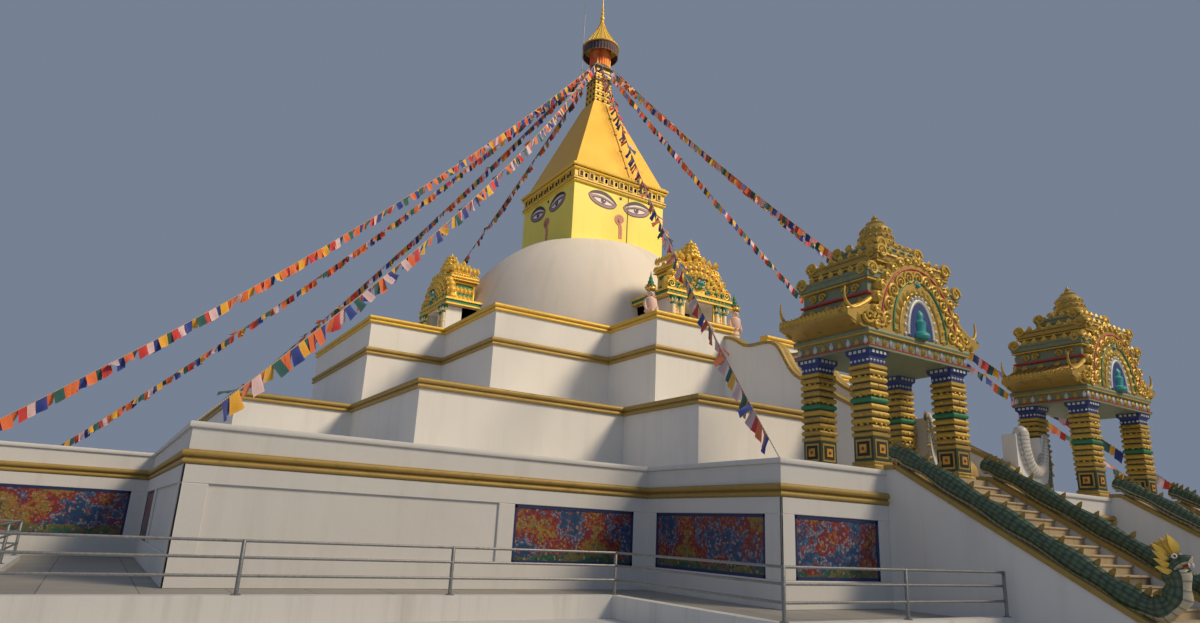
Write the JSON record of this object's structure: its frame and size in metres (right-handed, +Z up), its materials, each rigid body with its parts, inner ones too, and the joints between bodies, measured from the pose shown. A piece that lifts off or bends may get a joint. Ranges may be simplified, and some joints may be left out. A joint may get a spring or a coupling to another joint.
{
  "type": "stupa, 1:2 scale model",
  "caption": "Terraced white stupa with a dome, golden eyed harmika and spire, gateways, stairs with gate pavilions, a railed walkway and strings of prayer flags, as a 1:2 scale model.",
  "frame": {"origin": "middle of the plinth's underside, on the axis of the dome", "axes": "+Z up along the axis of the dome, -Y towards the stairs and gate pavilions of the front, +X to the right of someone who faces the front"},
  "size_m": [28, 29.4556, 17.7],
  "materials": {
    "white_masonry": "white painted plaster on brick masonry",
    "walkway_stone": "grey paving with a white painted kerb",
    "gold_paint": "gold paint over moulded ornament",
    "bronze_band": "brown-gold painted moulding",
    "yellow_paint": "golden-yellow paint",
    "steel_pipe": "plain steel pipe",
    "dark_valance": "dark brown cloth with gold trim",
    "tread_stone": "ochre stone treads",
    "naga_paint": "green and cream painted plaster",
    "gate_paint": "banded gold, green and dark paint",
    "flag_cloth": "thin printed cotton flags on a cord"
  },
  "bodies": {
    "root": {"walkway": "walkway_stone", "walkway_railing_left": "steel_pipe", "walkway_railing_right": "steel_pipe", "flag_collar": "steel_pipe", "lightning_rod": "steel_pipe", "ground_storey": "white_masonry", "second_terrace": "white_masonry", "third_terrace": "white_masonry", "third_parapet_left": "white_masonry", "third_parapet_right": "white_masonry", "dome": "white_masonry", "ground_storey_coping": "white_masonry", "upper_stair_wall_left": "white_masonry", "upper_stair_wall_right": "white_masonry", "ground_storey_band": "bronze_band", "second_terrace_coping": "bronze_band", "third_terrace_band": "gold_paint", "third_parapet_coping_left": "gold_paint", "third_parapet_coping_right": "gold_paint", "harmika_cornice": "gold_paint", "ringed_shaft": "gold_paint", "umbrella_cap": "gold_paint", "pinnacle": "gold_paint", "gate_left_roof": "gold_paint", "gate_right_roof": "gold_paint", "gateway_front": "gold_paint", "gateway_front_roof": "gold_paint", "gateway_right": "white_masonry", "gateway_right_roof": "gold_paint", "gateway_back": "white_masonry", "gateway_back_roof": "gold_paint", "gateway_left": "white_masonry", "gateway_left_roof": "gold_paint", "harmika": "yellow_paint", "pyramid": "yellow_paint", "umbrella_valance": "dark_valance", "upper_stair": "tread_stone", "ground_stair_left": "tread_stone", "ground_stair_right": "tread_stone", "naga_wall_left_inner": "naga_paint", "naga_wall_left_outer": "naga_paint", "naga_wall_right_inner": "naga_paint", "naga_wall_right_outer": "naga_paint", "gate_left": "gate_paint", "gate_right": "gate_paint", "flag_string_1": "flag_cloth", "flag_string_2": "flag_cloth", "flag_string_3": "flag_cloth", "flag_string_4": "flag_cloth", "flag_string_5": "flag_cloth", "flag_string_6": "flag_cloth", "flag_string_7": "flag_cloth", "flag_string_8": "flag_cloth", "flag_string_9": "flag_cloth", "flag_string_10": "flag_cloth", "flag_string_11": "flag_cloth", "flag_string_12": "flag_cloth"}
  },
  "joints": []
}
